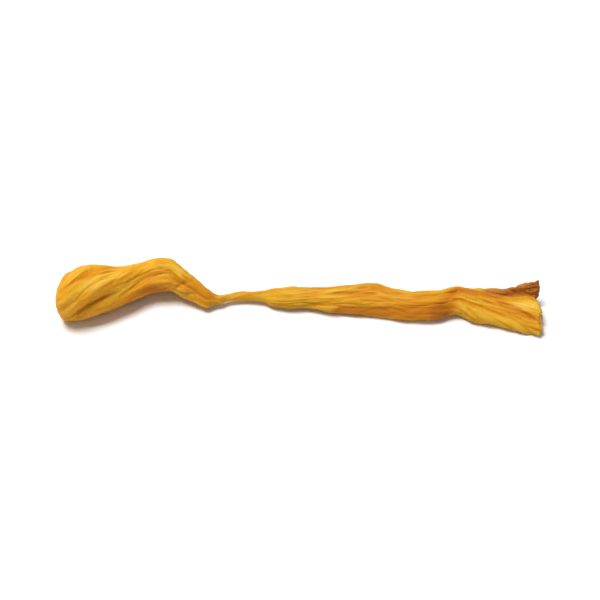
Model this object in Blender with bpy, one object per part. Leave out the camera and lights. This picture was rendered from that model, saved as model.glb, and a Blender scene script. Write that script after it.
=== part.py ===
"""Dried cordyceps: one fruiting body, with a club head, a pinched neck and a ribbon-like stem torn off.

Metres, +Z up. The strand lies along X, its head at -X, and rests on z = 0.
The origin is at the bottom centre of its bounding box.
"""

import math
from collections import namedtuple

import bmesh
import bpy
import numpy as np

MM = 0.001

# ---- driving dimensions, in millimetres ----
LENGTH = 43.8
HEAD_WIDTH = 5.5
HEAD_THICKNESS = 4.9
COLLAR_WIDTH = 3.2
COLLAR_THICKNESS = 3.0
NECK_WIDTH = 0.95
STEM_WIDTH = 3.6
STEM_THICKNESS = 1.95
BASE_WIDTH = 4.15
TONGUE_WIDTH = 1.7
TONGUE_THICKNESS = 0.72

# The middle of the bounding box, measured from the head's tip and the strand's own base line.
CENTRE_ALONG = 21.9
CENTRE_ACROSS = -1.3111

# ---- mesh density ----
BODY_SIDES = 40
BODY_RINGS = 112
TONGUE_SIDES = 14
TONGUE_RINGS = 26

Station = namedtuple("Station", "along across height width thickness roll")

# The body's cross-sections, head to base. Width and thickness are full sizes, roll is in degrees
# about the strand, and height is that of the section's middle above the ground.
BODY = (
    Station(0.0, -2.43, 1.95, HEAD_WIDTH * 0.91, HEAD_THICKNESS * 0.83, 96),
    Station(2.0, -1.61, 2.22, HEAD_WIDTH * 0.92, HEAD_THICKNESS * 0.93, 82),
    Station(3.8, -1.05, 2.07, HEAD_WIDTH * 0.835, HEAD_THICKNESS * 0.90, 52),
    Station(5.3, -0.58, 1.80, HEAD_WIDTH * 0.71, HEAD_THICKNESS * 0.78, 28),
    Station(7.3, 0.36, 1.62, HEAD_WIDTH * 0.61, HEAD_THICKNESS * 0.65, 12),
    Station(8.6, 0.83, 1.74, COLLAR_WIDTH, COLLAR_THICKNESS, 8),
    Station(9.9, 0.86, 1.80, COLLAR_WIDTH, COLLAR_THICKNESS, 8),
    Station(11.1, 0.27, 1.60, COLLAR_WIDTH * 0.93, COLLAR_THICKNESS * 0.88, 12),
    Station(12.4, -0.42, 1.34, COLLAR_WIDTH * 0.75, COLLAR_THICKNESS * 0.72, 16),
    Station(13.5, -1.13, 1.02, COLLAR_WIDTH * 0.60, COLLAR_THICKNESS * 0.56, 20),
    Station(14.5, -1.22, 0.80, NECK_WIDTH * 0.98, NECK_WIDTH * 0.94, -10),
    Station(15.3, -0.90, 0.70, NECK_WIDTH * 0.88, NECK_WIDTH * 0.78, -50),
    Station(16.8, -0.61, 0.66, NECK_WIDTH, NECK_WIDTH * 0.92, -110),
    Station(18.4, -0.74, 0.72, NECK_WIDTH * 1.22, NECK_WIDTH, -150),
    Station(19.4, -0.98, 0.80, STEM_WIDTH * 0.51, STEM_THICKNESS * 0.65, -166),
    Station(20.5, -1.09, 0.88, STEM_WIDTH * 0.58, STEM_THICKNESS * 0.76, -172),
    Station(22.5, -0.91, 0.88, STEM_WIDTH * 0.62, STEM_THICKNESS * 0.83, -170),
    Station(25.0, -1.24, 0.98, STEM_WIDTH * 0.76, STEM_THICKNESS * 0.90, -160),
    Station(28.4, -1.35, 1.05, STEM_WIDTH * 0.97, STEM_THICKNESS, -155),
    Station(30.0, -1.68, 1.02, STEM_WIDTH * 0.90, STEM_THICKNESS, -158),
    Station(32.3, -2.05, 1.00, STEM_WIDTH * 0.83, STEM_THICKNESS, -168),
    Station(34.2, -1.94, 0.94, STEM_WIDTH * 0.82, STEM_THICKNESS * 0.97, -175),
    Station(36.3, -1.42, 0.86, STEM_WIDTH * 0.86, STEM_THICKNESS * 0.92, -178),
    Station(37.6, -1.86, 0.80, BASE_WIDTH * 0.80, STEM_THICKNESS * 0.90, -174),
    Station(38.9, -2.23, 0.76, BASE_WIDTH * 0.76, STEM_THICKNESS * 0.90, -172),
    Station(40.9, -2.75, 0.75, BASE_WIDTH * 0.86, STEM_THICKNESS * 0.90, -171),
    Station(42.3, -2.98, 0.75, BASE_WIDTH * 0.89, STEM_THICKNESS * 0.88, -171),
    Station(LENGTH, -3.38, 0.75, BASE_WIDTH * 0.91, STEM_THICKNESS * 0.84, -171),
)

# The side tongue: the stem's far edge, curled up and torn free near the end.
TONGUE = (
    Station(33.4, -1.60, 1.00, TONGUE_WIDTH * 0.50, TONGUE_THICKNESS * 0.80, 20),
    Station(36.0, -0.74, 1.04, TONGUE_WIDTH * 0.68, TONGUE_THICKNESS, 32),
    Station(38.8, -0.94, 1.10, TONGUE_WIDTH * 0.80, TONGUE_THICKNESS, 48),
    Station(40.6, -1.18, 1.21, TONGUE_WIDTH * 0.92, TONGUE_THICKNESS, 56),
    Station(42.3, -1.02, 1.40, TONGUE_WIDTH * 1.15, TONGUE_THICKNESS, 62),
    Station(LENGTH, -0.76, 1.57, TONGUE_WIDTH * 1.35, TONGUE_THICKNESS * 0.92, 66),
)

# How an end closes: its dome's length, how blunt it is (2 is an ellipse), and its share of the mesh's rings.
Dome = namedtuple("Dome", "length bluntness ring_share")
HEAD_DOME = Dome(2.0, 2.9, 0.085)
TORN_DOME = Dome(0.45, 3.6, 0.035)
TONGUE_ROOT_DOME = Dome(0.45, 2.0, 0.12)
TONGUE_TORN_DOME = Dome(0.45, 3.6, 0.12)

# The torn ends are ragged: teeth round the rim reach back by up to this much over the last stretch.
RAGGED_DEPTH = 0.55
RAGGED_REACH = 1.5
RAGGED_TEETH = ((3, 0.5, 0.42), (5, 2.1, 0.33), (9, 4.0, 0.25))

# A crease or, with a negative depth, a ridge. Its path is (along, angle round the section in degrees).
# Angles are in the ground's frame: 0 is the far side (+Y), 90 the top, 180 the near side, 270 the bottom.
Crease = namedtuple("Crease", "path depth width")

HEAD_CREASES = (
    # the deep furrow that winds from the tip's near side up towards the knuckle, and its shallow end
    Crease(((0.9, 216), (1.6, 199), (2.6, 179), (3.4, 167), (4.3, 157), (5.4, 149)), 0.46, 0.38),
    Crease(((4.7, 154), (5.8, 143), (7.4, 133), (9.2, 128), (10.6, 130)), 0.14, 0.34),
    # the swollen lips on both sides of it
    Crease(((0.9, 176), (1.8, 163), (2.8, 148), (3.8, 136), (4.8, 122), (5.8, 108), (7.4, 90)), -0.24, 0.64),
    Crease(((1.6, 220), (2.6, 204), (3.6, 190), (4.8, 179), (6.4, 170), (8.6, 160), (10.8, 152)),
           -0.26, 0.52),
    # the hidden side's furrows
    Crease(((1.0, 60), (3.0, 24), (5.2, -4), (7.8, -32)), 0.55, 0.60),
    Crease(((1.6, 322), (3.4, 298), (5.6, 268), (8.2, 242), (10.2, 230)), 0.42, 0.50),
    # shallow wrinkles that follow the furrow
    Crease(((2.0, 104), (3.6, 82), (5.4, 66), (7.6, 54)), 0.12, 0.30),
    Crease(((2.8, 232), (4.6, 208), (6.6, 190), (8.8, 174)), 0.20, 0.28),
    Crease(((1.4, 96), (2.8, 66), (4.6, 40), (6.6, 18)), 0.15, 0.28),
)

STEM_CREASES = (
    # the knuckle and the folds gathered towards the pinch
    Crease(((8.0, 74), (9.9, 76), (11.8, 84)), -0.16, 0.95),
    Crease(((9.6, 132), (11.0, 138), (12.6, 146), (14.4, 150)), 0.34, 0.34),
    Crease(((11.0, 176), (12.6, 180), (14.4, 176)), 0.24, 0.28),
    Crease(((10.8, 100), (12.2, 108), (14.4, 116)), 0.22, 0.26),
    Crease(((11.2, 214), (12.6, 208), (14.0, 200)), -0.20, 0.45),
    Crease(((10.0, 30), (12.0, 36), (14.4, 48)), 0.26, 0.34),
    Crease(((10.6, 268), (12.4, 262), (14.4, 256)), 0.26, 0.34),
    # the neck's twist
    Crease(((14.4, 170), (16.4, 90), (18.6, 10), (20.2, -20)), 0.18, 0.24),
    Crease(((14.8, 350), (16.6, 270), (18.8, 200), (20.8, 190)), 0.14, 0.24),
    # the fold that parts the stem's lit face from its lower edge
    Crease(((25.0, 196), (27.8, 184), (30.4, 166), (32.6, 152), (34.4, 152), (36.8, 160)), 0.24, 0.46),
    # sunken lengths of the stem's upper face
    Crease(((20.6, 92), (23.0, 98), (26.0, 104), (29.4, 104)), 0.15, 0.36),
    Crease(((26.8, 72), (29.6, 76), (32.4, 88), (34.8, 98)), 0.17, 0.32),
    # its hidden faces
    Crease(((22.6, 58), (25.4, 50), (28.2, 46), (30.6, 50)), 0.20, 0.28),
    Crease(((29.8, 30), (33.0, 36), (35.6, 48)), 0.24, 0.34),
    Crease(((36.6, 20), (39.4, 30), (42.4, 28)), 0.20, 0.34),
    Crease(((20.2, 288), (24.0, 276), (28.4, 268), (32.8, 280)), 0.34, 0.50),
    Crease(((21.4, 30), (24.6, 24), (28.6, 16), (32.0, 12)), 0.24, 0.36),
    # the torn base's folds, and the ridge that the side tongue grows from
    Crease(((39.6, 84), (40.6, 94), (41.5, 109), (42.5, 136), (43.8, 162)), 0.40, 0.36),
    Crease(((36.4, 104), (38.0, 98), (40.2, 98)), 0.14, 0.28),
    Crease(((35.6, 128), (37.8, 134), (40.0, 142), (42.4, 160)), 0.13, 0.28),
    Crease(((33.8, 62), (35.6, 56), (37.4, 50), (39.4, 44)), -0.20, 0.50),
    Crease(((36.4, 186), (37.8, 192), (39.4, 188)), -0.20, 0.44),
    Crease(((36.0, 262), (39.2, 268), (43.0, 266)), 0.24, 0.50),
)

TONGUE_CREASES = (
    Crease(((36.4, 140), (39.0, 146), (41.6, 142), (43.7, 138)), 0.16, 0.26),
    Crease(((37.4, 320), (40.6, 312), (43.4, 306)), 0.12, 0.24),
)

# A crease rises softly over a length at either end, from a quarter of that length before its path starts.
CREASE_FADE = 1.6
CREASE_OVERRUN = 0.25
# How steep its sides are (2 is a bell curve), and the deepest it may cut, as a share of the half thickness.
CREASE_STEEPNESS = 1.6
DEEPEST_CREASE = 0.62

FLESH_COLOUR = (0.74, 0.37, 0.045, 1.0)
FLESH_ROUGHNESS = 0.55


def remove_everything():
    for item in list(bpy.data.objects):
        bpy.data.objects.remove(item, do_unlink=True)


def smooth_through(places, values, at):
    """Read a smooth curve through hand-picked points that never overshoots them."""
    places = np.asarray(places, dtype=float)
    values = np.asarray(values, dtype=float)
    gaps = np.diff(places)
    slopes = np.diff(values) / gaps
    tangents = np.zeros_like(values)
    turning = slopes[:-1] * slopes[1:] <= 0.0
    safe_sum = np.where(turning, 1.0, slopes[:-1] + slopes[1:])
    tangents[1:-1] = np.where(turning, 0.0, 2.0 * slopes[:-1] * slopes[1:] / safe_sum)
    tangents[0] = slopes[0]
    tangents[-1] = slopes[-1]
    at = np.clip(at, places[0], places[-1])
    left = np.clip(np.searchsorted(places, at, side="right") - 1, 0, len(gaps) - 1)
    step = gaps[left]
    t = (at - places[left]) / step
    rise = (1.0 + 2.0 * t) * (1.0 - t) ** 2 * values[left] + t * t * (3.0 - 2.0 * t) * values[left + 1]
    lean = t * (1.0 - t) ** 2 * tangents[left] - t * t * (1.0 - t) * tangents[left + 1]
    return rise + step * lean


def sections_at(stations, along):
    """The section's middle, sizes and roll at each place along the strand."""
    places = [station.along for station in stations]
    columns = {}
    for name in Station._fields[1:]:
        columns[name] = smooth_through(places, [getattr(station, name) for station in stations], along)
    return columns


def dome_ring(dome, share):
    """How far from its pole a ring of an end's dome lies, and its size, from 0 at the pole to 1."""
    turn = np.clip(share / dome.ring_share, 0.0, 1.0) * math.pi / 2.0
    back = dome.length * (1.0 - np.cos(turn) ** (2.0 / dome.bluntness))
    size = np.sin(turn) ** (2.0 / dome.bluntness)
    return back, size


def rings(share, first, last, start_dome, end_dome):
    """Map 0..1 from pole to pole onto places along the strand, with the rings' sizes near the ends."""
    start_back, start_size = dome_ring(start_dome, share)
    end_back, end_size = dome_ring(end_dome, 1.0 - share)
    middle = (share - start_dome.ring_share) / (1.0 - start_dome.ring_share - end_dome.ring_share)
    straight = last - first - start_dome.length - end_dome.length
    along = first + start_dome.length + np.clip(middle, 0.0, 1.0) * straight
    along = np.where(share < start_dome.ring_share, first + start_back, along)
    along = np.where(share > 1.0 - end_dome.ring_share, last - end_back, along)
    return along, start_size * end_size


def crease_relief(creases, along, angle, reach):
    """How far the surface moves out along its normal, in millimetres, from every crease and ridge."""
    relief = np.zeros_like(along)
    for crease in creases:
        places = [place for place, _ in crease.path]
        line = smooth_through(places, [math.radians(turn) for _, turn in crease.path], along)
        away = (angle - line + math.pi) % (2.0 * math.pi) - math.pi
        across = away * reach / crease.width
        start = np.clip((along - places[0]) / CREASE_FADE + CREASE_OVERRUN, 0.0, 1.0)
        end = np.clip((places[-1] - along) / CREASE_FADE + CREASE_OVERRUN, 0.0, 1.0)
        fade = (start * end) ** 2 * (3.0 - 2.0 * start) * (3.0 - 2.0 * end)
        relief -= crease.depth * fade * np.exp(-np.abs(across) ** CREASE_STEEPNESS)
    return relief


def torn_back(along, end, size, turn):
    """How far back a torn end's rim is bitten at each turn round it."""
    bite = np.zeros_like(turn)
    for teeth, phase, share in RAGGED_TEETH:
        bite += share * (0.5 - 0.5 * np.cos(teeth * turn + phase))
    nearness = np.clip((along - end + RAGGED_REACH) / RAGGED_REACH, 0.0, 1.0)
    return RAGGED_DEPTH * bite * nearness ** 2 * size


def strand_surface(stations, creases, along, size, turn):
    """Points of the strand's skin, in millimetres, for places along it and turns round it."""
    section = sections_at(stations, along)
    half_width = section["width"] / 2.0
    half_thickness = section["thickness"] / 2.0
    roll = np.radians(section["roll"])
    side, up = np.cos(turn), np.sin(turn)

    # outward normal of the section's ellipse
    normal_side = side * half_thickness
    normal_up = up * half_width
    normal_length = np.hypot(normal_side, normal_up)
    normal_side /= normal_length
    normal_up /= normal_length

    reach = np.hypot(half_width * up, half_thickness * side)
    angle = np.arctan2(half_thickness * up, half_width * side) + roll
    relief = crease_relief(creases, along, angle, reach)
    deepest = DEEPEST_CREASE * np.minimum(half_width, half_thickness)
    relief = np.where(relief < 0.0, -deepest * np.tanh(-relief / deepest), relief) * size

    out_side = half_width * side * size + normal_side * relief
    out_up = half_thickness * up * size + normal_up * relief
    across = section["across"] + out_side * np.cos(roll) - out_up * np.sin(roll)
    height = section["height"] + out_side * np.sin(roll) + out_up * np.cos(roll)
    along = along - torn_back(along, stations[-1].along, size, turn)
    return along, across, np.maximum(height, 0.0)


def add_strand(name, stations, creases, sides, ring_count, start_dome, end_dome):
    """A sphere's net drawn out along the strand: its poles become the two ends."""
    net = bmesh.new()
    bmesh.ops.create_uvsphere(net, u_segments=sides, v_segments=ring_count, radius=1.0)
    mesh = bpy.data.meshes.new(name)
    net.to_mesh(mesh)
    net.free()

    points = np.empty(len(mesh.vertices) * 3)
    mesh.vertices.foreach_get("co", points)
    points = points.reshape(-1, 3)
    share = 1.0 - np.arccos(np.clip(points[:, 2], -1.0, 1.0)) / math.pi
    turn = np.arctan2(points[:, 1], points[:, 0])
    along, size = rings(share, stations[0].along, stations[-1].along, start_dome, end_dome)
    along, across, height = strand_surface(stations, creases, along, size, turn)
    placed = np.column_stack((along - CENTRE_ALONG, across - CENTRE_ACROSS, height)) * MM
    mesh.vertices.foreach_set("co", placed.ravel())
    mesh.update()
    return bpy.data.objects.new(name, mesh)


def flesh_material():
    material = bpy.data.materials.new("dried_flesh")
    material.use_nodes = True
    shader = material.node_tree.nodes["Principled BSDF"]
    shader.inputs["Base Color"].default_value = FLESH_COLOUR
    shader.inputs["Roughness"].default_value = FLESH_ROUGHNESS
    shader.inputs["Metallic"].default_value = 0.0
    return material


def new_collection(name):
    collection = bpy.data.collections.new(name)
    bpy.context.scene.collection.children.link(collection)
    return collection


def main():
    remove_everything()
    parts = new_collection("dried_cordyceps")
    guides = new_collection("joined_pieces")

    body = add_strand("fruiting_body", BODY, HEAD_CREASES + STEM_CREASES, BODY_SIDES, BODY_RINGS,
                      HEAD_DOME, TORN_DOME)
    tongue = add_strand("side_tongue", TONGUE, TONGUE_CREASES, TONGUE_SIDES, TONGUE_RINGS,
                        TONGUE_ROOT_DOME, TONGUE_TORN_DOME)
    parts.objects.link(body)
    guides.objects.link(tongue)
    tongue.hide_render = True
    tongue.display_type = "WIRE"

    join = body.modifiers.new("grown_together", "BOOLEAN")
    join.operation = "UNION"
    join.solver = "EXACT"
    join.object = tongue

    body.data.materials.append(flesh_material())
    for piece in (body, tongue):
        piece.data.shade_smooth()


main()
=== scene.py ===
"""The looks of a dried cordyceps: the fine skin that stands for its solid, its material, a plain studio.

The skin is drawn out of the same sections and creases as the solid, remeshed as one closed surface
and wrinkled finely along the way the flesh runs. It is made in millimetres, with x measured from the
head's tip, and make_skin puts it in its place in metres, +Z up.
"""

import math
from collections import namedtuple

import bmesh
import bpy
import numpy as np
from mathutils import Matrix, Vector, noise
from mathutils.bvhtree import BVHTree


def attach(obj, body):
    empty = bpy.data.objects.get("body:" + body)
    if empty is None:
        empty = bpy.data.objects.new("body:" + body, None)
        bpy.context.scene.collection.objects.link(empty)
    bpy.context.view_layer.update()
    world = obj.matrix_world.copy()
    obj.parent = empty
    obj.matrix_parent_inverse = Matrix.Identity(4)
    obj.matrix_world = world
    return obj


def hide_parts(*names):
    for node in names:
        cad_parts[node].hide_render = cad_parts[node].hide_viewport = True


MM = 0.001

# ---- the strand's form, in millimetres: the solid's own values ----
LENGTH = 43.8
HEAD_WIDTH = 5.5
HEAD_THICKNESS = 4.9
COLLAR_WIDTH = 3.2
COLLAR_THICKNESS = 3.0
NECK_WIDTH = 0.95
STEM_WIDTH = 3.6
STEM_THICKNESS = 1.95
BASE_WIDTH = 4.15
TONGUE_WIDTH = 1.7
TONGUE_THICKNESS = 0.72

# The middle of the bounding box, measured from the head's tip and the strand's own base line.
CENTRE_ALONG = 21.9
CENTRE_ACROSS = -1.3111

Station = namedtuple("Station", "along across height width thickness roll")

# The body's cross-sections, head to base. Width and thickness are full sizes, roll is in degrees
# about the strand, and height is that of the section's middle above the ground.
BODY = (
    Station(0.0, -2.43, 1.95, HEAD_WIDTH * 0.91, HEAD_THICKNESS * 0.83, 96),
    Station(2.0, -1.61, 2.22, HEAD_WIDTH * 0.92, HEAD_THICKNESS * 0.93, 82),
    Station(3.8, -1.05, 2.07, HEAD_WIDTH * 0.835, HEAD_THICKNESS * 0.90, 52),
    Station(5.3, -0.58, 1.80, HEAD_WIDTH * 0.71, HEAD_THICKNESS * 0.78, 28),
    Station(7.3, 0.36, 1.62, HEAD_WIDTH * 0.61, HEAD_THICKNESS * 0.65, 12),
    Station(8.6, 0.83, 1.74, COLLAR_WIDTH, COLLAR_THICKNESS, 8),
    Station(9.9, 0.86, 1.80, COLLAR_WIDTH, COLLAR_THICKNESS, 8),
    Station(11.1, 0.27, 1.60, COLLAR_WIDTH * 0.93, COLLAR_THICKNESS * 0.88, 12),
    Station(12.4, -0.42, 1.34, COLLAR_WIDTH * 0.75, COLLAR_THICKNESS * 0.72, 16),
    Station(13.5, -1.13, 1.02, COLLAR_WIDTH * 0.60, COLLAR_THICKNESS * 0.56, 20),
    Station(14.5, -1.22, 0.80, NECK_WIDTH * 0.98, NECK_WIDTH * 0.94, -10),
    Station(15.3, -0.90, 0.70, NECK_WIDTH * 0.88, NECK_WIDTH * 0.78, -50),
    Station(16.8, -0.61, 0.66, NECK_WIDTH, NECK_WIDTH * 0.92, -110),
    Station(18.4, -0.74, 0.72, NECK_WIDTH * 1.22, NECK_WIDTH, -150),
    Station(19.4, -0.98, 0.80, STEM_WIDTH * 0.51, STEM_THICKNESS * 0.65, -166),
    Station(20.5, -1.09, 0.88, STEM_WIDTH * 0.58, STEM_THICKNESS * 0.76, -172),
    Station(22.5, -0.91, 0.88, STEM_WIDTH * 0.62, STEM_THICKNESS * 0.83, -170),
    Station(25.0, -1.24, 0.98, STEM_WIDTH * 0.76, STEM_THICKNESS * 0.90, -160),
    Station(28.4, -1.35, 1.05, STEM_WIDTH * 0.97, STEM_THICKNESS, -155),
    Station(30.0, -1.68, 1.02, STEM_WIDTH * 0.90, STEM_THICKNESS, -158),
    Station(32.3, -2.05, 1.00, STEM_WIDTH * 0.83, STEM_THICKNESS, -168),
    Station(34.2, -1.94, 0.94, STEM_WIDTH * 0.82, STEM_THICKNESS * 0.97, -175),
    Station(36.3, -1.42, 0.86, STEM_WIDTH * 0.86, STEM_THICKNESS * 0.92, -178),
    Station(37.6, -1.86, 0.80, BASE_WIDTH * 0.80, STEM_THICKNESS * 0.90, -174),
    Station(38.9, -2.23, 0.76, BASE_WIDTH * 0.76, STEM_THICKNESS * 0.90, -172),
    Station(40.9, -2.75, 0.75, BASE_WIDTH * 0.86, STEM_THICKNESS * 0.90, -171),
    Station(42.3, -2.98, 0.75, BASE_WIDTH * 0.89, STEM_THICKNESS * 0.88, -171),
    Station(LENGTH, -3.38, 0.75, BASE_WIDTH * 0.91, STEM_THICKNESS * 0.84, -171),
)

# The side tongue: the stem's far edge, curled up and torn free near the end.
TONGUE = (
    Station(33.4, -1.60, 1.00, TONGUE_WIDTH * 0.50, TONGUE_THICKNESS * 0.80, 20),
    Station(36.0, -0.74, 1.04, TONGUE_WIDTH * 0.68, TONGUE_THICKNESS, 32),
    Station(38.8, -0.94, 1.10, TONGUE_WIDTH * 0.80, TONGUE_THICKNESS, 48),
    Station(40.6, -1.18, 1.21, TONGUE_WIDTH * 0.92, TONGUE_THICKNESS, 56),
    Station(42.3, -1.02, 1.40, TONGUE_WIDTH * 1.15, TONGUE_THICKNESS, 62),
    Station(LENGTH, -0.76, 1.57, TONGUE_WIDTH * 1.35, TONGUE_THICKNESS * 0.92, 66),
)

# How an end closes: its dome's length, how blunt it is (2 is an ellipse), and its share of the net's rings.
Dome = namedtuple("Dome", "length bluntness ring_share")
HEAD_DOME = Dome(2.0, 2.9, 0.085)
TORN_DOME = Dome(0.45, 3.6, 0.035)
TONGUE_ROOT_DOME = Dome(0.45, 2.0, 0.12)
TONGUE_TORN_DOME = Dome(0.45, 3.6, 0.12)

# The torn ends are ragged: teeth round the rim reach back by up to this much over the last stretch.
RAGGED_DEPTH = 0.55
RAGGED_REACH = 1.5
RAGGED_TEETH = ((3, 0.5, 0.42), (5, 2.1, 0.33), (9, 4.0, 0.25))

# A crease or, with a negative depth, a ridge. Its path is (along, angle round the section in degrees).
# Angles are in the ground's frame: 0 is the far side (+Y), 90 the top, 180 the near side, 270 the bottom.
Crease = namedtuple("Crease", "path depth width")

HEAD_CREASES = (
    Crease(((0.9, 216), (1.6, 199), (2.6, 179), (3.4, 167), (4.3, 157), (5.4, 149)), 0.46, 0.38),
    Crease(((4.7, 154), (5.8, 143), (7.4, 133), (9.2, 128), (10.6, 130)), 0.14, 0.34),
    Crease(((0.9, 176), (1.8, 163), (2.8, 148), (3.8, 136), (4.8, 122), (5.8, 108), (7.4, 90)),
           -0.24, 0.64),
    Crease(((1.6, 220), (2.6, 204), (3.6, 190), (4.8, 179), (6.4, 170), (8.6, 160), (10.8, 152)),
           -0.26, 0.52),
    Crease(((1.0, 60), (3.0, 24), (5.2, -4), (7.8, -32)), 0.55, 0.60),
    Crease(((1.6, 322), (3.4, 298), (5.6, 268), (8.2, 242), (10.2, 230)), 0.42, 0.50),
    Crease(((2.0, 104), (3.6, 82), (5.4, 66), (7.6, 54)), 0.12, 0.30),
    Crease(((2.8, 232), (4.6, 208), (6.6, 190), (8.8, 174)), 0.20, 0.28),
    Crease(((1.4, 96), (2.8, 66), (4.6, 40), (6.6, 18)), 0.15, 0.28),
)

STEM_CREASES = (
    Crease(((8.0, 74), (9.9, 76), (11.8, 84)), -0.16, 0.95),
    Crease(((9.6, 132), (11.0, 138), (12.6, 146), (14.4, 150)), 0.34, 0.34),
    Crease(((11.0, 176), (12.6, 180), (14.4, 176)), 0.24, 0.28),
    Crease(((10.8, 100), (12.2, 108), (14.4, 116)), 0.22, 0.26),
    Crease(((11.2, 214), (12.6, 208), (14.0, 200)), -0.20, 0.45),
    Crease(((10.0, 30), (12.0, 36), (14.4, 48)), 0.26, 0.34),
    Crease(((10.6, 268), (12.4, 262), (14.4, 256)), 0.26, 0.34),
    Crease(((14.4, 170), (16.4, 90), (18.6, 10), (20.2, -20)), 0.18, 0.24),
    Crease(((14.8, 350), (16.6, 270), (18.8, 200), (20.8, 190)), 0.14, 0.24),
    Crease(((25.0, 196), (27.8, 184), (30.4, 166), (32.6, 152), (34.4, 152), (36.8, 160)), 0.24, 0.46),
    Crease(((20.6, 92), (23.0, 98), (26.0, 104), (29.4, 104)), 0.15, 0.36),
    Crease(((26.8, 72), (29.6, 76), (32.4, 88), (34.8, 98)), 0.17, 0.32),
    Crease(((22.6, 58), (25.4, 50), (28.2, 46), (30.6, 50)), 0.20, 0.28),
    Crease(((29.8, 30), (33.0, 36), (35.6, 48)), 0.24, 0.34),
    Crease(((36.6, 20), (39.4, 30), (42.4, 28)), 0.20, 0.34),
    Crease(((20.2, 288), (24.0, 276), (28.4, 268), (32.8, 280)), 0.34, 0.50),
    Crease(((21.4, 30), (24.6, 24), (28.6, 16), (32.0, 12)), 0.24, 0.36),
    Crease(((39.6, 84), (40.6, 94), (41.5, 109), (42.5, 136), (43.8, 162)), 0.40, 0.36),
    Crease(((36.4, 104), (38.0, 98), (40.2, 98)), 0.14, 0.28),
    Crease(((35.6, 128), (37.8, 134), (40.0, 142), (42.4, 160)), 0.13, 0.28),
    Crease(((33.8, 62), (35.6, 56), (37.4, 50), (39.4, 44)), -0.20, 0.50),
    Crease(((36.4, 186), (37.8, 192), (39.4, 188)), -0.20, 0.44),
    Crease(((36.0, 262), (39.2, 268), (43.0, 266)), 0.24, 0.50),
)

TONGUE_CREASES = (
    Crease(((36.4, 140), (39.0, 146), (41.6, 142), (43.7, 138)), 0.16, 0.26),
    Crease(((37.4, 320), (40.6, 312), (43.4, 306)), 0.12, 0.24),
)

# A crease rises softly over a length at either end, from a quarter of that length before its path starts.
CREASE_FADE = 1.6
CREASE_OVERRUN = 0.25
# How steep its sides are (2 is a bell curve), and the deepest it may cut, as a share of the half thickness.
CREASE_STEEPNESS = 1.6
DEEPEST_CREASE = 0.62

# ---- the fine skin: the nets that it is drawn from, and how it is remeshed into one surface ----
# A net's lines from end to end, and its rings.
BODY_NET = (180, 640)
TONGUE_NET = (60, 150)
VOXEL = 0.076
VOXEL_SMOOTHING = 0.5
VOXEL_SMOOTHING_ROUNDS = 2
# After the remesh each point drops back onto its net, if that is this near and faces nearly the same way.
SNAP_REACH = 0.15
SNAP_FACING = 0.5
# Then the points are evened out: at full pull, a round moves each this far towards its neighbours' middle.
FULL_PULL = 0.6
EVENING = 0.8
EVENING_ROUNDS = 2
# The seam where body and tongue meet gets many more rounds. It reaches as far as a point lies this much
# nearer to the one than to the other, and the tongue's own look starts within the blend.
SEAM_REACH = 0.55
SEAM_ROUNDS = 40
SEAM_BLEND = 0.12

# Short, narrow wrinkles, finer than the solid's: across the collar, along the head, the stem and the base.
FINE_CREASES = (
    Crease(((9.9, 196), (10.4, 177), (11.2, 143), (11.7, 118), (12.3, 92)), 0.20, 0.18),
    Crease(((11.1, 206), (11.5, 186), (12.1, 165), (12.8, 152), (13.6, 144)), 0.18, 0.18),
    Crease(((12.2, 120), (12.9, 112), (13.7, 104)), 0.12, 0.16),
    Crease(((9.0, 150), (9.8, 178), (10.6, 206)), 0.14, 0.20),
    Crease(((8.4, 96), (9.6, 112), (10.8, 122)), 0.12, 0.18),
    Crease(((1.2, 168), (2.4, 146), (3.8, 136), (5.2, 122), (6.6, 110)), 0.09, 0.15),
    Crease(((1.0, 118), (2.4, 104), (4.0, 92), (5.6, 80)), 0.10, 0.16),
    Crease(((24.0, 130), (26.4, 126), (29.0, 124)), 0.07, 0.16),
    Crease(((38.0, 116), (40.0, 126), (42.4, 144)), 0.12, 0.16),
    Crease(((40.2, 88), (42.0, 96), (43.8, 102)), 0.12, 0.16),
)

FINE_TONGUE_CREASES = (
    Crease(((36.6, 178), (39.4, 172), (41.8, 180), (43.8, 172)), 0.14, 0.20),
    Crease(((37.6, 108), (40.2, 114), (43.8, 106)), 0.12, 0.20),
    Crease(((38.0, 214), (41.0, 206), (43.8, 212)), 0.12, 0.18),
)

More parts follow.
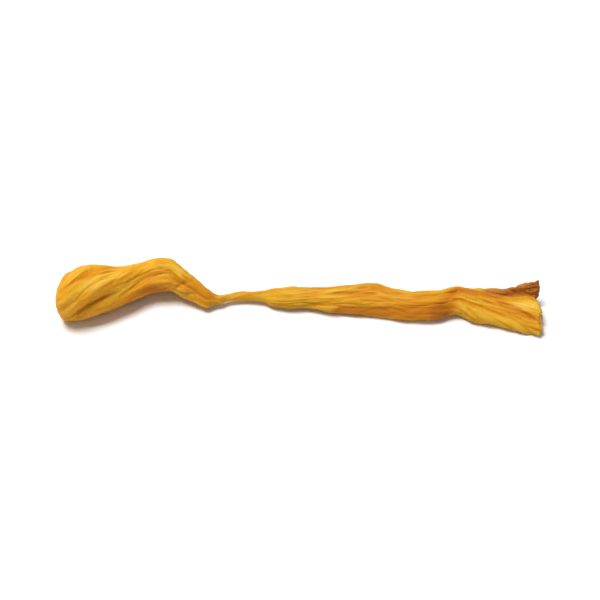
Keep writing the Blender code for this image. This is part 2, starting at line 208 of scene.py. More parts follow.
# Paler and darker streaks, written as ridges: a path, how strong (negative), how wide. The pale ones are
# mostly painted highlights, above and below the head's furrow, on the knuckle and along the stem's top,
# with paler flesh round the neck and at the base's tip.
PALE_FLESH_AND_HIGHLIGHT_STREAKS = (
    Crease(((1.8, 134), (3.2, 118), (5.2, 102), (6.8, 96)), -0.65, 0.60),
    Crease(((1.6, 198), (2.6, 183), (3.8, 167), (5.3, 151), (6.8, 144)), -0.35, 0.30),
    Crease(((10.0, 92), (10.8, 98), (11.8, 110)), -0.55, 0.60),
    Crease(((14.4, 120), (15.3, 113), (16.6, 125)), -0.60, 1.20),
    Crease(((20.6, 112), (22.5, 99), (26.0, 92), (29.7, 96), (33.0, 80)), -0.45, 0.55),
    Crease(((40.2, 98), (41.4, 82), (42.6, 70), (43.9, 58)), -0.88, 0.60),
)
# The dark ones are mostly painted shade: the head's lower lobe, under the knuckle, the stem's lower side
# and the valley before the base, with some darker flesh.
DARK_FLESH_AND_SHADE_STREAKS = (
    Crease(((1.5, 216), (2.6, 206), (4.5, 194), (6.6, 180), (8.2, 172)), -0.55, 0.55),
    Crease(((7.2, 174), (8.6, 180), (9.6, 190), (10.6, 196)), -0.80, 0.75),
    Crease(((12.2, 62), (13.6, 59)), -0.60, 0.45),
    Crease(((24.3, 200), (27.9, 193), (31.5, 178), (33.6, 178), (35.2, 182)), -0.60, 0.75),
    Crease(((33.6, 170), (34.8, 174), (36.2, 180)), -0.90, 0.95),
    Crease(((33.8, 112), (35.0, 116), (36.4, 108)), -0.42, 0.70),
    Crease(((26.0, 112), (29.0, 116), (32.0, 118), (34.6, 124)), -0.36, 0.85),
    Crease(((34.9, 74), (36.2, 62), (37.6, 48), (39.0, 38), (41.0, 34)), -0.80, 0.75),
)

# The way the flesh runs: how far its fibres have turned round the strand at each place along it,
# in degrees, and how wide a circle they are laid out on.
FLOW_TWIST = (
    (0.0, 226), (1.5, 202), (3.3, 170), (4.7, 152), (6.3, 136), (7.6, 124), (9.9, 112), (12.4, 112),
    (14.4, 106), (16.8, 16), (19.4, -54), (21.5, -60), (24.5, -70), (27.6, -86), (31.5, -106),
    (34.2, -104), (36.8, -90), (39.0, -76), (41.6, -52), (43.8, -26),
)
FLOW_RADIUS = 1.6
# The fibres wander sideways and up and down by this much. A noise written as a pair, here and below,
# is its stretch for each axis and its seed, which shifts it by so many steps.
SEED_STEP = (7.31, 3.17, 5.73)
FLOW_WANDER = 0.30
FLOW_SWAY = ((0.35, 0.8, 0.8), 11)
FLOW_SWING = ((0.35, 0.8, 0.8), 12)
# Over the head's tip they gather towards its middle: how much, from which place to which, and how far in.
TIP_GATHER = 0.6
TIP_GATHER_PLACES = (4.0, 2.0)
TIP_GATHER_SHARES = (0.0, 0.7)

# Stretches of the strand along it: where each starts, is whole, starts to fade and ends.
REGIONS = {
    "head": ((-2.0, -1.0, 6.0, 10.5),),
    "neck": ((13.6, 15.0, 18.6, 20.5),),
    "stem": ((18.6, 21.0, LENGTH + 1.0, LENGTH + 2.0),),
    "bend": ((7.8, 10.0, 12.6, 14.4), (34.6, 36.2, 37.8, 39.4)),
}

# The fine relief's layers: how the noise is stretched along and round the flow, its seed, how softly it is
# folded into ridges (None leaves it as it is), the level that stays in place, how high the layer stands
# everywhere, and how much higher in one region.
Layer = namedtuple("Layer", "stretch seed softness level height extra region")
RELIEF = {
    "lumps": Layer((0.42, 0.75, 0.75), 1, None, 0.0, 0.055, 0.050, "head"),
    "folds": Layer((0.20, 1.15, 1.15), 2, 0.07, 0.7, 0.076, 0.036, "stem"),
    "wrinkles": Layer((0.40, 2.4, 2.4), 3, 0.16, 0.6, 0.060, 0.040, "stem"),
    "crinkles": Layer((1.5, 0.9, 0.9), 7, 0.12, 0.7, 0.0, 0.045, "bend"),
    "fibres": Layer((0.9, 6.0, 6.0), 4, None, 0.0, 0.012, 0.010, "stem"),
}
RIDGE_STEEPNESS = 2.6
# Grain runs no particular way, so it is laid on the points themselves.
GRAIN = ((2.4, 2.4, 2.4), 5)
FINE_GRAIN = ((5.0, 5.0, 5.0), 8)
FINE_GRAIN_SHARE = 0.5
GRAIN_HEIGHT = 0.008
GRAIN_EXTRA_ON_HEAD = 0.019

# The relief is calmer on the thin neck, beside the tongue's seam and down in the deep creases,
# where its points are evened out too.
NECK_CALM = 0.72
SEAM_CALM = 0.8
SEAM_CALM_REACH = 0.30
VALLEY_CALM = 0.7
VALLEY_DEPTHS = (0.05, 0.35)
VALLEY_EVENING = 0.85
LEAST_EVENING = 0.15

# The torn faces: how squarely they face along the strand, where they start, and how their fibres fray.
TORN_FACING = (0.35, 0.85)
TORN_PLACES = (LENGTH - 1.3, LENGTH - 0.6)
FRAY = ((0.6, 2.6, 2.6), 6)
FINE_FRAY = ((0.6, 4.0, 4.0), 9)
FINE_FRAY_SOFTNESS = 0.12
FINE_FRAY_SHARE = 0.6
FRAY_LEVEL = 0.4
FRAY_HEIGHT = 0.14
FRAY_SINK = 0.04

# What the material is told: how deep a crease must be for full painted shade, how much fold and wrinkle
# valleys add to that painted shade and their tops to the painted highlight, and from where to where the
# tongue turns rusty.
FULL_CREASE_SHADE = 0.50
FOLD_VALLEY_SHADE = 0.40
WRINKLE_VALLEY_SHADE = 0.22
FOLD_CREST_HIGHLIGHT = 0.55
WRINKLE_CREST_HIGHLIGHT = 0.45
RUST_PLACES = (36.4, 41.0)


def smooth_through(places, values, at):
    """Read a smooth curve through given points that never overshoots them."""
    places = np.asarray(places, dtype=float)
    values = np.asarray(values, dtype=float)
    gaps = np.diff(places)
    slopes = np.diff(values) / gaps
    tangents = np.zeros_like(values)
    turning = slopes[:-1] * slopes[1:] <= 0.0
    safe_sum = np.where(turning, 1.0, slopes[:-1] + slopes[1:])
    tangents[1:-1] = np.where(turning, 0.0, 2.0 * slopes[:-1] * slopes[1:] / safe_sum)
    tangents[0] = slopes[0]
    tangents[-1] = slopes[-1]
    at = np.clip(at, places[0], places[-1])
    left = np.clip(np.searchsorted(places, at, side="right") - 1, 0, len(gaps) - 1)
    step = gaps[left]
    t = (at - places[left]) / step
    rise = (1.0 + 2.0 * t) * (1.0 - t) ** 2 * values[left] + t * t * (3.0 - 2.0 * t) * values[left + 1]
    lean = t * (1.0 - t) ** 2 * tangents[left] - t * t * (1.0 - t) * tangents[left + 1]
    return rise + step * lean


def smoothstep(low, high, value):
    """0 at low, 1 at high and smooth between, also where low is the greater."""
    t = np.clip((value - low) / (high - low), 0.0, 1.0)
    return t * t * (3.0 - 2.0 * t)


def sections_at(stations, along):
    """The section's middle, sizes and roll at each place along the strand."""
    places = [station.along for station in stations]
    columns = {}
    for name in Station._fields[1:]:
        columns[name] = smooth_through(places, [getattr(station, name) for station in stations], along)
    return columns


def dome_ring(dome, share):
    """How far from its pole a ring of an end's dome lies, and its size, from 0 at the pole to 1."""
    turn = np.clip(share / dome.ring_share, 0.0, 1.0) * math.pi / 2.0
    back = dome.length * (1.0 - np.cos(turn) ** (2.0 / dome.bluntness))
    size = np.sin(turn) ** (2.0 / dome.bluntness)
    return back, size


def rings(share, first, last, start_dome, end_dome):
    """Map 0..1 from pole to pole onto places along the strand, with the rings' sizes near the ends."""
    start_back, start_size = dome_ring(start_dome, share)
    end_back, end_size = dome_ring(end_dome, 1.0 - share)
    middle = (share - start_dome.ring_share) / (1.0 - start_dome.ring_share - end_dome.ring_share)
    straight = last - first - start_dome.length - end_dome.length
    along = first + start_dome.length + np.clip(middle, 0.0, 1.0) * straight
    along = np.where(share < start_dome.ring_share, first + start_back, along)
    along = np.where(share > 1.0 - end_dome.ring_share, last - end_back, along)
    return along, start_size * end_size


def crease_relief(creases, along, angle, reach):
    """How far the surface moves out along its normal, in millimetres, from every crease and ridge."""
    relief = np.zeros_like(along)
    for crease in creases:
        places = [place for place, _ in crease.path]
        line = smooth_through(places, [math.radians(turn) for _, turn in crease.path], along)
        away = (angle - line + math.pi) % (2.0 * math.pi) - math.pi
        across = away * reach / crease.width
        start = np.clip((along - places[0]) / CREASE_FADE + CREASE_OVERRUN, 0.0, 1.0)
        end = np.clip((places[-1] - along) / CREASE_FADE + CREASE_OVERRUN, 0.0, 1.0)
        fade = (start * end) ** 2 * (3.0 - 2.0 * start) * (3.0 - 2.0 * end)
        relief -= crease.depth * fade * np.exp(-np.abs(across) ** CREASE_STEEPNESS)
    return relief


def torn_back(along, end, size, turn):
    """How far back a torn end's rim is bitten at each turn round it."""
    bite = np.zeros_like(turn)
    for teeth, phase, share in RAGGED_TEETH:
        bite += share * (0.5 - 0.5 * np.cos(teeth * turn + phase))
    nearness = np.clip((along - end + RAGGED_REACH) / RAGGED_REACH, 0.0, 1.0)
    return RAGGED_DEPTH * bite * nearness ** 2 * size


def strand_surface(stations, creases, along, size, turn):
    """Points of the strand's skin, in millimetres, for places along it and turns round it."""
    section = sections_at(stations, along)
    half_width = section["width"] / 2.0
    half_thickness = section["thickness"] / 2.0
    roll = np.radians(section["roll"])
    side, up = np.cos(turn), np.sin(turn)

    # outward normal of the section's ellipse
    normal_side = side * half_thickness
    normal_up = up * half_width
    normal_length = np.hypot(normal_side, normal_up)
    normal_side /= normal_length
    normal_up /= normal_length

    reach = np.hypot(half_width * up, half_thickness * side)
    angle = np.arctan2(half_thickness * up, half_width * side) + roll
    relief = crease_relief(creases, along, angle, reach)
    deepest = DEEPEST_CREASE * np.minimum(half_width, half_thickness)
    relief = np.where(relief < 0.0, -deepest * np.tanh(-relief / deepest), relief) * size

    out_side = half_width * side * size + normal_side * relief
    out_up = half_thickness * up * size + normal_up * relief
    across = section["across"] + out_side * np.cos(roll) - out_up * np.sin(roll)
    height = section["height"] + out_side * np.sin(roll) + out_up * np.cos(roll)
    along = along - torn_back(along, stations[-1].along, size, turn)
    return along, across, np.maximum(height, 0.0)


def add_net(name, stations, creases, net_size, start_dome, end_dome):
    """A sphere's net drawn out along the strand, as an object: its poles become the two ends."""
    net = bmesh.new()
    sides, ring_count = net_size
    made = bmesh.ops.create_uvsphere(net, u_segments=sides, v_segments=ring_count, radius=1.0)
    points = np.array([vertex.co for vertex in made["verts"]])
    share = 1.0 - np.arccos(np.clip(points[:, 2], -1.0, 1.0)) / math.pi
    turn = np.arctan2(points[:, 1], points[:, 0])
    along, size = rings(share, stations[0].along, stations[-1].along, start_dome, end_dome)
    placed = np.column_stack(strand_surface(stations, creases, along, size, turn))
    for vertex, place in zip(made["verts"], placed):
        vertex.co = place
    bmesh.ops.recalc_face_normals(net, faces=net.faces[:])
    mesh = bpy.data.meshes.new(name)
    net.to_mesh(mesh)
    net.free()
    made_object = bpy.data.objects.new(name, mesh)
    bpy.context.scene.collection.objects.link(made_object)
    return made_object


def surface_tree(mesh):
    return BVHTree.FromPolygons([vertex.co[:] for vertex in mesh.vertices],
                                [polygon.vertices[:] for polygon in mesh.polygons])


def gap_to(tree, points):
    return np.array([tree.find_nearest(Vector(place))[3] for place in points])


def dropped_onto(tree, points, normals):
    """Move points out or in along their normals onto a surface, where it is near enough."""
    placed = points.copy()
    for index, (place, normal) in enumerate(zip(points, normals)):
        start, way = Vector(place), Vector(normal)
        hits = (tree.ray_cast(start, way, SNAP_REACH), tree.ray_cast(start, -way, SNAP_REACH))
        facing = [hit for hit in hits if hit[0] is not None and hit[1].dot(way) > SNAP_FACING]
        if facing:
            placed[index] = min(facing, key=lambda hit: hit[3])[0]
    return placed


def relaxed(mesh, points, share, rounds):
    """Pull each point towards the middle of its neighbours, by its own share of the full pull."""
    edges = np.empty(len(mesh.edges) * 2, dtype=int)
    mesh.edges.foreach_get("vertices", edges)
    first, second = edges.reshape(-1, 2).T
    moving = (share[first] > 0.0) | (share[second] > 0.0)
    first, second = first[moving], second[moving]
    count = np.bincount(first, minlength=len(points)) + np.bincount(second, minlength=len(points))
    pull = (FULL_PULL * share / np.maximum(count, 1))[:, None]
    for _ in range(rounds):
        total = np.zeros_like(points)
        for axis in range(3):
            total[:, axis] = (np.bincount(first, points[second, axis], len(points))
                              + np.bincount(second, points[first, axis], len(points)))
        points = points + pull * (total - points * count[:, None])
    return points


def grown_together():
    """The body and its side tongue as one surface, and how much nearer each point is to the tongue's."""
    body = add_net("body", BODY, HEAD_CREASES + STEM_CREASES + FINE_CREASES, BODY_NET, HEAD_DOME, TORN_DOME)
    tongue = add_net("tongue", TONGUE, TONGUE_CREASES + FINE_TONGUE_CREASES, TONGUE_NET,
                     TONGUE_ROOT_DOME, TONGUE_TORN_DOME)
    body_tree = surface_tree(body.data)
    tongue_tree = surface_tree(tongue.data)

    union = body.modifiers.new("grown_together", "BOOLEAN")
    union.operation = "UNION"
    union.solver = "EXACT"
    union.object = tongue
    remesh = body.modifiers.new("one_skin", "REMESH")
    remesh.mode = "VOXEL"
    remesh.voxel_size = VOXEL
    smooth = body.modifiers.new("evened", "SMOOTH")
    smooth.factor = VOXEL_SMOOTHING
    smooth.iterations = VOXEL_SMOOTHING_ROUNDS
    depsgraph = bpy.context.evaluated_depsgraph_get()
    skin = bpy.data.meshes.new_from_object(body.evaluated_get(depsgraph))
    bpy.data.objects.remove(body)
    bpy.data.objects.remove(tongue)

    points = read_points(skin)
    tongue_nearer = gap_to(body_tree, points) - gap_to(tongue_tree, points)
    normals = read_normals(skin)
    on_body = dropped_onto(body_tree, points, normals)
    on_tongue = dropped_onto(tongue_tree, points, normals)
    points = np.where(tongue_nearer[:, None] > 0.0, on_tongue, on_body)
    points = relaxed(skin, points, np.full(len(points), EVENING), EVENING_ROUNDS)
    seam = smoothstep(SEAM_REACH, 0.0, np.abs(tongue_nearer)) * (points[:, 0] > TONGUE[0].along)
    points = relaxed(skin, points, seam, SEAM_ROUNDS)
    skin.vertices.foreach_set("co", points.ravel())
    skin.update()
    return skin, tongue_nearer


def read_points(mesh):
    points = np.empty(len(mesh.vertices) * 3)
    mesh.vertices.foreach_get("co", points)
    return points.reshape(-1, 3)


def read_normals(mesh):
    normals = np.empty(len(mesh.vertices) * 3)
    mesh.vertex_normals.foreach_get("vector", normals)
    return normals.reshape(-1, 3)


def around(stations, points):
    """Each point's angle round the strand, and its distance from the middle as a share of the rim's."""
    section = sections_at(stations, points[:, 0])
    across = points[:, 1] - section["across"]
    height = points[:, 2] - section["height"]
    roll = np.radians(section["roll"])
    side = across * np.cos(roll) + height * np.sin(roll)
    up = -across * np.sin(roll) + height * np.cos(roll)
    share = np.hypot(side / section["width"], up / section["thickness"]) * 2.0
    return np.arctan2(height, across), share


def noise_at(points, stretch, seed):
    """Seeded Perlin noise, -1..1, at points stretched by a factor for each axis."""
    shift = Vector([seed * step for step in SEED_STEP])
    scaled = points * np.asarray(stretch)
    return np.array([noise.noise(Vector(place) + shift) for place in scaled])


def ridged(values, softness):
    """Turn noise into rounded ridges with narrow valleys: 0 in a valley, 1 on a ridge."""
    rise = (np.sqrt(values ** 2 + softness ** 2) - softness) * RIDGE_STEEPNESS
    return 1.0 - (1.0 - np.minimum(rise, 1.0)) ** 2


def regions_at(along):
    """How far each place along the strand lies in each region, 0 to 1."""
    regions = {}
    for name, stretches in REGIONS.items():
        shares = [smoothstep(start, whole, along) * smoothstep(end, fading, along)
                  for start, whole, fading, end in stretches]
        regions[name] = np.maximum.reduce(shares)
    return regions


def flow_at(along, angle, share):
    """Where each point lies in the unwound flesh, whose fibres run straight along x."""
    places, turns = zip(*FLOW_TWIST)
    twist = np.radians(smooth_through(places, turns, along))
    gathered = TIP_GATHER * smoothstep(*TIP_GATHER_PLACES, along) * smoothstep(*TIP_GATHER_SHARES, share)
    radius = FLOW_RADIUS * (share + (1.0 - share) * gathered)
    flow = np.column_stack((along, radius * np.cos(angle - twist), radius * np.sin(angle - twist)))
    sway = noise_at(flow, *FLOW_SWAY) * FLOW_WANDER
    swing = noise_at(flow, *FLOW_SWING) * FLOW_WANDER
    return flow + np.column_stack((np.zeros_like(sway), sway, swing))


def layer_noise(layer, flow):
    values = noise_at(flow, layer.stretch, layer.seed)
    return values if layer.softness is None else ridged(values, layer.softness)


def fine_relief(layers, points, regions):
    """How high the lumps, folds, wrinkles, fibres and grain stand at each point."""
    relief = np.zeros(len(points))
    for name, values in layers.items():
        layer = RELIEF[name]
        relief += (values - layer.level) * (layer.height + layer.extra * regions[layer.region])
    grain = noise_at(points, *GRAIN) + FINE_GRAIN_SHARE * noise_at(points, *FINE_GRAIN)
    relief += grain * (GRAIN_HEIGHT + GRAIN_EXTRA_ON_HEAD * regions["head"])
    return relief * (1.0 - NECK_CALM * regions["neck"])


def torn_fray(points):
    """How far the torn faces' fibres stand out or lie back."""
    coarse = noise_at(points, *FRAY)
    fine = ridged(noise_at(points, *FINE_FRAY), FINE_FRAY_SOFTNESS)
    return (coarse + FINE_FRAY_SHARE * fine - FRAY_LEVEL) * FRAY_HEIGHT - FRAY_SINK


def wrinkle_finely(mesh, tongue_nearer):
    """Move the skin's points along their normals, and note on the mesh what its material needs."""
    points = read_points(mesh)
    normals = read_normals(mesh)
    along = points[:, 0]
    angle, share = around(BODY, points)
    regions = regions_at(along)
    flow = flow_at(along, angle, share)
    layers = {name: layer_noise(layer, flow) for name, layer in RELIEF.items()}

    body = sections_at(BODY, along)
    reach = np.sqrt(body["width"] * body["thickness"]) / 2.0
    on_tongue = smoothstep(0.0, SEAM_BLEND, tongue_nearer)
    off_tongue = 1.0 - on_tongue
    deep = -crease_relief(HEAD_CREASES + STEM_CREASES + FINE_CREASES, along, angle, reach)
    valley = smoothstep(*VALLEY_DEPTHS, deep) * off_tongue
    torn = smoothstep(*TORN_FACING, normals[:, 0]) * smoothstep(*TORN_PLACES, along)

    relief = fine_relief(layers, points, regions)
    relief *= 1.0 - SEAM_CALM * smoothstep(SEAM_CALM_REACH, 0.0, np.abs(tongue_nearer))
    relief *= 1.0 - VALLEY_CALM * valley
    relief += torn * torn_fray(points)
    moved = points + normals * relief[:, None]
    moved = relaxed(mesh, moved, LEAST_EVENING + VALLEY_EVENING * valley, EVENING_ROUNDS)
    moved[:, 2] = np.maximum(moved[:, 2], 0.0)
    mesh.vertices.foreach_set("co", moved.ravel())

    folds, wrinkles = layers["folds"], layers["wrinkles"]
    # Painted shade: the deeper the crease or the fold and wrinkle valley, the darker the flesh is coloured.
    painted_crease_shade = np.clip(deep / FULL_CREASE_SHADE, 0.0, 1.0) * off_tongue
    painted_crease_shade += FOLD_VALLEY_SHADE * (1.0 - folds) + WRINKLE_VALLEY_SHADE * (1.0 - wrinkles)
    # Painted highlight: fold and wrinkle tops are made paler, as light would catch them.
    painted_crest_highlight = FOLD_CREST_HIGHLIGHT * folds + WRINKLE_CREST_HIGHLIGHT * wrinkles
    # Painted highlights, with some truly paler flesh, from the pale streaks.
    pale_flesh_and_highlight = np.clip(crease_relief(PALE_FLESH_AND_HIGHLIGHT_STREAKS, along, angle, reach), 0.0, 1.0) * off_tongue
    # Painted shade, with some truly darker flesh, from the dark streaks.
    dark_flesh_and_shade = np.clip(crease_relief(DARK_FLESH_AND_SHADE_STREAKS, along, angle, reach), 0.0, 1.0) * off_tongue
    note(mesh, "flow", "FLOAT_VECTOR", flow)
    note(mesh, "painted_crease_shade", "FLOAT", np.clip(painted_crease_shade, 0.0, 1.0))
    note(mesh, "painted_crest_highlight", "FLOAT", np.clip(painted_crest_highlight, 0.0, 1.0))
    note(mesh, "pale_flesh_and_highlight", "FLOAT", pale_flesh_and_highlight)
    note(mesh, "dark_flesh_and_shade", "FLOAT", dark_flesh_and_shade)
    note(mesh, "torn", "FLOAT", torn)
    note(mesh, "rust", "FLOAT", on_tongue * smoothstep(*RUST_PLACES, along))
    note(mesh, "head", "FLOAT", regions["head"])


def note(mesh, name, kind, values):
    """Store one value for each of the mesh's points, for the material to read."""
    layer = mesh.attributes.new(name, kind, "POINT")
    layer.data.foreach_set("vector" if kind == "FLOAT_VECTOR" else "value", np.asarray(values).ravel())


# ---- material ----
GOLD = (0.74, 0.335, 0.008, 1.0)
YELLOW = (0.82, 0.455, 0.020, 1.0)
ORANGE = (0.63, 0.210, 0.005, 1.0)
BROWN = (0.38, 0.110, 0.006, 1.0)
RUSSET = (0.40, 0.105, 0.016, 1.0)
STRAW = (0.88, 0.56, 0.075, 1.0)
OCHRE = (0.46, 0.30, 0.012, 1.0)
CREAM = (0.86, 0.60, 0.24, 1.0)
GREY = (0.42, 0.28, 0.17, 1.0)
MAROON = (0.20, 0.062, 0.022, 1.0)

# What wrinkle_finely notes on each point of the mesh, apart from the flow.
NOTES = ("painted_crease_shade", "painted_crest_highlight", "pale_flesh_and_highlight", "dark_flesh_and_shade", "torn", "rust", "head")

# The material's noises, each laid along the flow: how it is stretched, its detail and its roughness.
Pattern = namedtuple("Pattern", "stretch detail roughness")
PATTERNS = {
    "blotch": Pattern((0.22, 0.75, 0.75), 3.0, 0.5),
    "bands": Pattern((0.16, 2.0, 2.0), 2.0, 0.5),
    "lines": Pattern((0.55, 7.0, 7.0), 3.0, 0.6),
    "mottle": Pattern((2.6, 4.2, 4.2), 3.0, 0.6),
    "specks": Pattern((2.2, 4.0, 4.0), 2.0, 0.5),
    "redness": Pattern((0.30, 0.9, 0.9), 2.0, 0.5),
    "pores": Pattern((1.2, 5.0, 5.0), 3.0, 0.6),
    "threads": Pattern((1.6, 16.0, 16.0), 3.0, 0.6),
}

# A colour laid over the one below it: where by, from which value to which, and how strongly at most.
Tint = namedtuple("Tint", "by low high strength colour")
FLESH_TINTS = (
    Tint("blotch", 0.42, 0.66, 1.0, YELLOW),
    Tint("bands", 0.52, 0.70, 0.70, ORANGE),
    Tint("lines", 0.54, 0.72, 0.36, ORANGE),
    Tint("lines", 0.46, 0.30, 0.34, YELLOW),
    Tint("mottle", 0.55, 0.72, 0.28, ORANGE),
    Tint("mottle", 0.45, 0.30, 0.30, STRAW),
    # Painted highlight on the crests of folds and wrinkles.
    Tint("painted_crest_highlight", 0.70, 1.0, 0.38, STRAW),
    Tint("head", 1.0, 0.0, 0.30, OCHRE),
    # Painted highlights, with paler flesh at the neck and the base's tip.
    Tint("pale_flesh_and_highlight", 0.0, 1.0, 0.90, STRAW),
    Tint("pale_flesh_and_highlight", 0.7, 1.0, 0.35, CREAM),
    # Painted shade in the creases and valleys, orange and then brown.
    Tint("painted_crease_shade", 0.24, 0.85, 0.72, ORANGE),
    Tint("painted_crease_shade", 0.80, 1.0, 0.22, BROWN),
    # Painted shade on undersides and in the valley before the base, with some darker flesh.
    Tint("dark_flesh_and_shade", 0.0, 0.7, 0.90, ORANGE),
    Tint("dark_flesh_and_shade", 0.4, 1.0, 0.70, BROWN),
)
SPECK_TINTS = (
    Tint("specks", 0.72, 0.80, 0.50, BROWN),
)
INSIDE_TINTS = (
    Tint("pores", 0.40, 0.62, 1.0, GOLD),
    Tint("pores", 0.62, 0.74, 0.55, GREY),
    Tint("rust", 0.2, 0.8, 0.85, MAROON),
)
# Spreads: from which value to which, and what they become at either.
RUST_SPREAD = (0.0, 0.9, 0.0, 1.0)
REDNESS_SPREAD = (0.30, 0.70, 0.60, 1.0)
TORN_SPREAD = (0.1, 0.8, 0.0, 0.85)
ROUGHNESS_SPREAD = (0.30, 0.70, 0.50, 0.66)

# The finest relief is in the bump: threads along the flow, and a grain that is faint away from the head,
# stretched out of the object's own metres.
BUMP_GRAIN = Pattern((5200.0, 5200.0, 5200.0), 2.0, 0.5)
GRAIN_SPREAD = (0.0, 1.0, 0.35, 1.0)
THREAD_SHARE = 0.9
BUMP_STRENGTH = 0.65
BUMP_DISTANCE = 0.00006


class Nodes:
    """A material's node tree, with short calls for the few nodes that it uses."""

    def __init__(self, tree):
        self.tree = tree

    def add(self, kind, **settings):
        node = self.tree.nodes.new(kind)
        for name, value in settings.items():
            setattr(node, name, value)
        return node

    def link(self, source, target):
        self.tree.links.new(source, target)

    def attribute(self, name, output="Fac"):
        return self.add("ShaderNodeAttribute", attribute_name=name).outputs[output]

    def scaled(self, vector, scale):
        node = self.add("ShaderNodeVectorMath", operation="MULTIPLY")
        self.link(vector, node.inputs[0])
        node.inputs[1].default_value = scale
        return node.outputs[0]

    def noise(self, vector, pattern):
        node = self.add("ShaderNodeTexNoise")
        self.link(self.scaled(vector, pattern.stretch), node.inputs["Vector"])
        node.inputs["Scale"].default_value = 1.0
        node.inputs["Detail"].default_value = pattern.detail
        node.inputs["Roughness"].default_value = pattern.roughness
        return node.outputs["Fac"]

    def ramp(self, value, low, high, to_low, to_high):
        node = self.add("ShaderNodeMapRange", interpolation_type="SMOOTHSTEP")
        self.link(value, node.inputs["Value"])
        node.inputs["From Min"].default_value = low
        node.inputs["From Max"].default_value = high
        node.inputs["To Min"].default_value = to_low
        node.inputs["To Max"].default_value = to_high
        return node.outputs["Result"]

    def maths(self, operation, first, second):
        node = self.add("ShaderNodeMath", operation=operation)
        for socket, value in zip(node.inputs, (first, second)):
            if isinstance(value, (int, float)):
                socket.default_value = value
            else:
                self.link(value, socket)
        return node.outputs[0]

    def mix(self, factor, first, second):
        node = self.add("ShaderNodeMix", data_type="RGBA")
        self.link(factor, node.inputs["Factor"])
        for socket, value in ((node.inputs["A"], first), (node.inputs["B"], second)):
            if isinstance(value, tuple):
                socket.default_value = value
            else:
                self.link(value, socket)
        return node.outputs["Result"]

    def tinted(self, colour, tints, values):
        """Lay tints over a colour, one after the other."""
        for tint in tints:
            factor = self.ramp(values[tint.by], tint.low, tint.high, 0.0, tint.strength)
            colour = self.mix(factor, colour, tint.colour)
        return colour


def flesh_colour(nodes, values):
    """Gold flesh under its tints, painted highlights and shade among them, rust-brown at the tongue, and
    paler and porous where it is torn.
    """
    redness = nodes.ramp(values["redness"], *REDNESS_SPREAD)
    rusting = nodes.maths("MULTIPLY", nodes.ramp(values["rust"], *RUST_SPREAD), redness)
    colour = nodes.tinted(GOLD, FLESH_TINTS, values)
    colour = nodes.mix(rusting, colour, RUSSET)
    colour = nodes.tinted(colour, SPECK_TINTS, values)
    inside = nodes.tinted(CREAM, INSIDE_TINTS, values)
    return nodes.mix(nodes.ramp(values["torn"], *TORN_SPREAD), colour, inside)


def flesh_bump(nodes, values):
    """The normal of the flesh with its threads and grain."""
    place = nodes.add("ShaderNodeTexCoord").outputs["Object"]
    grain = nodes.noise(place, BUMP_GRAIN)
    grain = nodes.maths("MULTIPLY", grain, nodes.ramp(values["head"], *GRAIN_SPREAD))
    threads = nodes.maths("MULTIPLY", values["threads"], THREAD_SHARE)
    bump = nodes.add("ShaderNodeBump")
    bump.inputs["Strength"].default_value = BUMP_STRENGTH
    bump.inputs["Distance"].default_value = BUMP_DISTANCE
    nodes.link(nodes.maths("ADD", threads, grain), bump.inputs["Height"])
    return bump.outputs["Normal"]


def flesh_material():
    material = bpy.data.materials.new("dried_flesh")
    material.use_nodes = True
    nodes = Nodes(material.node_tree)
    shader = material.node_tree.nodes["Principled BSDF"]

    flow = nodes.attribute("flow", "Vector")
    values = {name: nodes.attribute(name) for name in NOTES}
    values.update((name, nodes.noise(flow, pattern)) for name, pattern in PATTERNS.items())
    nodes.link(flesh_colour(nodes, values), shader.inputs["Base Color"])
    nodes.link(nodes.ramp(values["lines"], *ROUGHNESS_SPREAD), shader.inputs["Roughness"])
    nodes.link(flesh_bump(nodes, values), shader.inputs["Normal"])

    shader.inputs["Metallic"].default_value = 0.0
    shader.inputs["IOR"].default_value = 1.45
    shader.inputs["Specular IOR Level"].default_value = 0.20
    shader.inputs["Subsurface Weight"].default_value = 0.22
    shader.inputs["Subsurface Radius"].default_value = (1.0, 0.42, 0.10)
    shader.inputs["Subsurface Scale"].default_value = 0.8 * MM
    return material


# ---- studio ----
CAMERA_ELEVATION = 48.0
CAMERA_LENS = 105.0
CAMERA_DISTANCE = 0.1586
CAMERA_TARGET = (0.0, -0.0004, 0.0013)
CAMERA_CLIP = (0.005, 10.0)

FLOOR_COLOUR = (0.94, 0.94, 0.94, 1.0)
FLOOR_SIZE = 1.2

SOFTBOX_PLACE = (-0.13, 0.06, 0.42)
SOFTBOX_SIZE = 0.24
SOFTBOX_POWER = 2.24
SOFTBOX_COLOUR = (1.0, 0.992, 0.975)
ROOM_COLOUR = (1.0, 1.0, 1.0, 1.0)
ROOM_LIGHT = 0.26


def add_floor():
    bpy.ops.mesh.primitive_plane_add(size=FLOOR_SIZE, location=(0.0, 0.0, 0.0))
    floor = bpy.context.active_object
    floor.name = "floor"
    material = bpy.data.materials.new("floor")
    material.use_nodes = True
    shader = material.node_tree.nodes["Principled BSDF"]
    shader.inputs["Base Color"].default_value = FLOOR_COLOUR
    shader.inputs["Roughness"].default_value = 0.9
    shader.inputs["Specular IOR Level"].default_value = 0.1
    floor.data.materials.append(material)


def aim(thing, target):
    away = Vector(target) - thing.location
    thing.rotation_euler = away.to_track_quat("-Z", "Y").to_euler()


def add_softbox():
    data = bpy.data.lights.new("softbox", "AREA")
    data.shape = "DISK"
    data.size = SOFTBOX_SIZE
    data.energy = SOFTBOX_POWER
    data.color = SOFTBOX_COLOUR
    softbox = bpy.data.objects.new("softbox", data)
    softbox.location = SOFTBOX_PLACE
    bpy.context.scene.collection.objects.link(softbox)
    aim(softbox, (0.0, 0.0, 0.0))


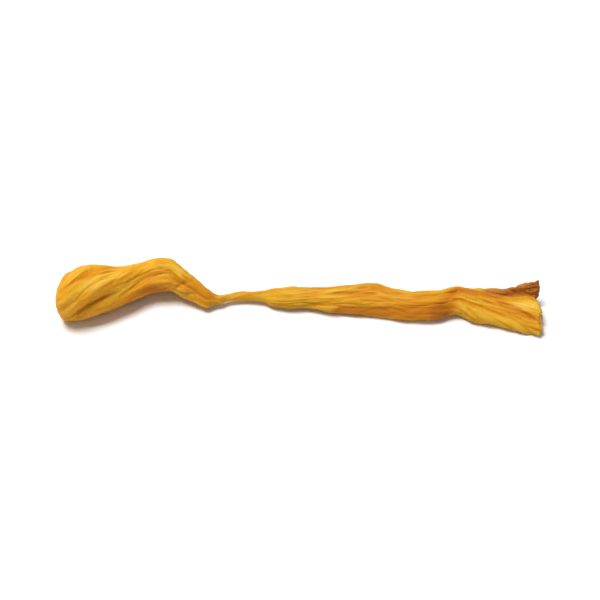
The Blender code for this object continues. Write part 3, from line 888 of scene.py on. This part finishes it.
def add_soft_room():
    world = bpy.data.worlds.new("soft_room")
    world.use_nodes = True
    background = world.node_tree.nodes["Background"]
    background.inputs["Color"].default_value = ROOM_COLOUR
    background.inputs["Strength"].default_value = ROOM_LIGHT
    bpy.context.scene.world = world


def add_camera():
    data = bpy.data.cameras.new("camera")
    data.lens = CAMERA_LENS
    data.clip_start, data.clip_end = CAMERA_CLIP
    camera = bpy.data.objects.new("camera", data)
    rise = math.radians(CAMERA_ELEVATION)
    back = Vector((0.0, -math.cos(rise), math.sin(rise)))
    camera.location = Vector(CAMERA_TARGET) + back * CAMERA_DISTANCE
    bpy.context.scene.collection.objects.link(camera)
    aim(camera, CAMERA_TARGET)
    bpy.context.scene.camera = camera


# ---- the skin's map, in shares of its side: strips for the body and the tongue, a patch for each end ----
MAP_MARGIN = 0.01
MAP_LENGTH = LENGTH + 0.5
BODY_SEAM = math.radians(270.0)
TONGUE_SEAM = math.radians(237.0)
BODY_STRIP_LOW, BODY_STRIP_RISE = MAP_MARGIN, 0.71
TONGUE_STRIP_LOW, TONGUE_STRIP_RISE = 0.79, 0.14
PATCH_LOW = 0.79
TORN_PATCH_LEFT, TORN_PATCH_SCALE = MAP_MARGIN, 0.065
HEAD_PATCH_LEFT, HEAD_PATCH_SCALE = 0.45, 0.042
# A face is in an end's patch if it faces along the strand by this much and lies past this place.
TORN_PATCH_FACING, TORN_PATCH_STARTS = 0.45, LENGTH - 1.6
HEAD_PATCH_FACING, HEAD_PATCH_ENDS = -0.75, 2.0


def unwrapped(turn, starts, face_of_corner):
    """Turns round a section as shares of a circle, with no face that reaches back across the seam."""
    share = turn % (2.0 * math.pi) / (2.0 * math.pi)
    lowest = np.minimum.reduceat(share, starts)[face_of_corner]
    highest = np.maximum.reduceat(share, starts)[face_of_corner]
    return np.where((highest - lowest > 0.5) & (share < 0.5), share + 1.0, share)


def face_values(mesh, name, size, kind):
    values = np.empty(len(mesh.polygons) * size, dtype=kind)
    mesh.polygons.foreach_get(name, values)
    return values


def map_skin(mesh, tongue_nearer):
    """Unroll the skin flat, along the strand and round it, with the ends' faces laid out beside it."""
    points = read_points(mesh)
    corner = np.empty(len(mesh.loops), dtype=int)
    mesh.loops.foreach_get("vertex_index", corner)
    starts = face_values(mesh, "loop_start", 1, int)
    face_of_corner = np.repeat(np.arange(len(starts)), face_values(mesh, "loop_total", 1, int))
    facing_along = face_values(mesh, "normal", 3, float).reshape(-1, 3)[face_of_corner, 0]
    along, across, height = points[corner].T
    first_along = np.minimum.reduceat(along, starts)[face_of_corner]

    body_turn = unwrapped((around(BODY, points)[0] - BODY_SEAM)[corner], starts, face_of_corner)
    tongue_turn = unwrapped((around(TONGUE, points)[0] - TONGUE_SEAM)[corner], starts, face_of_corner)
    is_tongue = np.minimum.reduceat(tongue_nearer[corner], starts)[face_of_corner] > 0.0
    is_torn_face = (facing_along > TORN_PATCH_FACING) & (first_along > TORN_PATCH_STARTS)
    is_head_face = (facing_along < HEAD_PATCH_FACING) & (first_along < HEAD_PATCH_ENDS)

    u = MAP_MARGIN + (1.0 - 2.0 * MAP_MARGIN) * along / MAP_LENGTH
    v = np.where(is_tongue, TONGUE_STRIP_LOW + TONGUE_STRIP_RISE * tongue_turn,
                 BODY_STRIP_LOW + BODY_STRIP_RISE * body_turn)
    for is_end, left, scale in ((is_torn_face, TORN_PATCH_LEFT, TORN_PATCH_SCALE),
                                (is_head_face, HEAD_PATCH_LEFT, HEAD_PATCH_SCALE)):
        u = np.where(is_end, left + scale * (across - across[is_end].min()), u)
        v = np.where(is_end, PATCH_LOW + scale * (height - height[is_end].min()), v)
    layer = mesh.uv_layers.new(name="OFBake")
    layer.data.foreach_set("uv", np.column_stack((u, v)).ravel())


def make_skin():
    """The finished skin in its place, as the piece that stands for the solid."""
    mesh, tongue_nearer = grown_together()
    wrinkle_finely(mesh, tongue_nearer)
    map_skin(mesh, tongue_nearer)
    placed = (read_points(mesh) - (CENTRE_ALONG, CENTRE_ACROSS, 0.0)) * MM
    mesh.vertices.foreach_set("co", placed.ravel())
    mesh.materials.clear()
    mesh.materials.append(flesh_material())
    mesh.name = "fruiting_body_skin"
    mesh.shade_smooth()
    mesh.update()
    skin = bpy.data.objects.new("fruiting_body_skin", mesh)
    bpy.context.scene.collection.objects.link(skin)
    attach(skin, "root")
    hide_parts("fruiting_body")


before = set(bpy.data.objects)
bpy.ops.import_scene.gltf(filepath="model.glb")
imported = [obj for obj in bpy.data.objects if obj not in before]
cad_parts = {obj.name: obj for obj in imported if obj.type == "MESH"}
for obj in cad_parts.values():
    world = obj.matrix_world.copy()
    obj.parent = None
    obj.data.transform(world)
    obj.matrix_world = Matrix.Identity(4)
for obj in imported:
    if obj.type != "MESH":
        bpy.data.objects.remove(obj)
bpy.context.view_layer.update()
bpy.context.scene.view_settings.view_transform = "Standard"

make_skin()
add_floor()
add_softbox()
add_soft_room()
add_camera()
